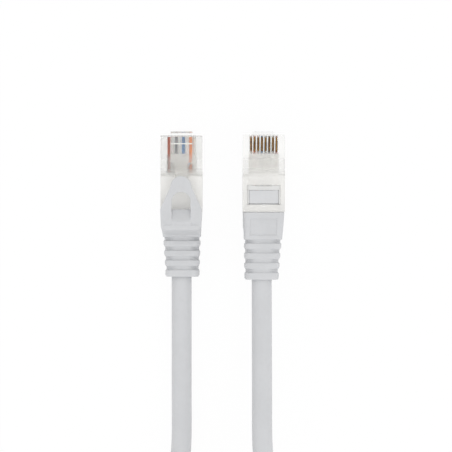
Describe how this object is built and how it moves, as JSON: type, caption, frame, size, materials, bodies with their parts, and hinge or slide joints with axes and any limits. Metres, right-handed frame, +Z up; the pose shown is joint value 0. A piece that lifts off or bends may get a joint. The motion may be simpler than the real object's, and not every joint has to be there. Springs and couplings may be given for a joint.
{
  "type": "ethernet patch cable",
  "caption": "Ethernet patch cable: a modular plug with a sprung latch and a ribbed, hooded boot on each end, its grey cable folded into a tied hank.",
  "frame": {"origin": "on the surface, under the middle of the box round the two plugs and their boots", "axes": "+Y is the way both plugs point, +X runs from plug A to plug B, +Z is up from the surface that the cable lies on"},
  "size_m": [0.0508, 0.1908, 0.0262],
  "materials": {
    "clear_plastic": "clear moulded polycarbonate",
    "grey_pvc": "light grey moulded PVC",
    "cable_jacket": "light grey extruded PVC jacket",
    "gold_contact": "gold-plated blade",
    "tie_strap": "woven hook-and-loop strap",
    "wire_1": "white and orange wire insulation",
    "wire_2": "orange wire insulation",
    "wire_3": "white and green wire insulation",
    "wire_4": "blue wire insulation",
    "wire_5": "white and blue wire insulation",
    "wire_6": "grey-green wire insulation",
    "wire_7": "white and brown wire insulation",
    "wire_8": "brown wire insulation"
  },
  "bodies": {
    "cable": {"housing_a": "clear_plastic", "load_bar_a": "clear_plastic", "strain_bar_a": "clear_plastic", "boot_a": "grey_pvc", "cable_end_a": "cable_jacket", "contact_a1": "gold_contact", "contact_a2": "gold_contact", "contact_a3": "gold_contact", "contact_a4": "gold_contact", "contact_a5": "gold_contact", "contact_a6": "gold_contact", "contact_a7": "gold_contact", "contact_a8": "gold_contact", "wire_a1": "wire_1", "wire_a2": "wire_2", "wire_a3": "wire_3", "wire_a4": "wire_4", "wire_a5": "wire_5", "wire_a6": "wire_6", "wire_a7": "wire_7", "wire_a8": "wire_8", "housing_b": "clear_plastic", "load_bar_b": "clear_plastic", "strain_bar_b": "clear_plastic", "boot_b": "grey_pvc", "cable_end_b": "cable_jacket", "contact_b1": "gold_contact", "contact_b2": "gold_contact", "contact_b3": "gold_contact", "contact_b4": "gold_contact", "contact_b5": "gold_contact", "contact_b6": "gold_contact", "contact_b7": "gold_contact", "contact_b8": "gold_contact", "wire_b1": "wire_1", "wire_b2": "wire_2", "wire_b3": "wire_3", "wire_b4": "wire_4", "wire_b5": "wire_5", "wire_b6": "wire_6", "wire_b7": "wire_7", "wire_b8": "wire_8", "cable_run_a": "cable_jacket", "cable_run_b": "cable_jacket", "cable_hank": "cable_jacket", "tie": "tie_strap"},
    "latch_a": {"latch_a": "clear_plastic"},
    "guard_a": {"boot_guard_a": "grey_pvc"},
    "latch_b": {"latch_b": "clear_plastic"},
    "guard_b": {"boot_guard_b": "grey_pvc"}
  },
  "joints": [
    {"name": "latch_a_spring", "type": "hinge", "parent": "cable", "child": "latch_a", "pos_m": [-0.01145, 0.01988, 0.0062], "axis": [1, 0, 0], "range_deg": [0, 7], "stiffness_Nm_per_rad": 0.3},
    {"name": "guard_a_bend", "type": "hinge", "parent": "cable", "child": "guard_a", "pos_m": [-0.01145, -0.00497, 0.01162], "axis": [1, 0, 0], "range_deg": [-10.5, 0]},
    {"name": "latch_b_spring", "type": "hinge", "parent": "cable", "child": "latch_b", "pos_m": [0.01145, 0.01988, 0.0063], "axis": [-1, 0, 0], "range_deg": [0, 7], "stiffness_Nm_per_rad": 0.3},
    {"name": "guard_b_bend", "type": "hinge", "parent": "cable", "child": "guard_b", "pos_m": [0.01145, -0.00497, 0.00088], "axis": [-1, 0, 0], "range_deg": [-10.5, 0]}
  ],
  "couplings": [
    {"joint": "guard_a_bend", "follows": "latch_a_spring", "ratio": -1.5},
    {"joint": "guard_b_bend", "follows": "latch_b_spring", "ratio": -1.5}
  ]
}
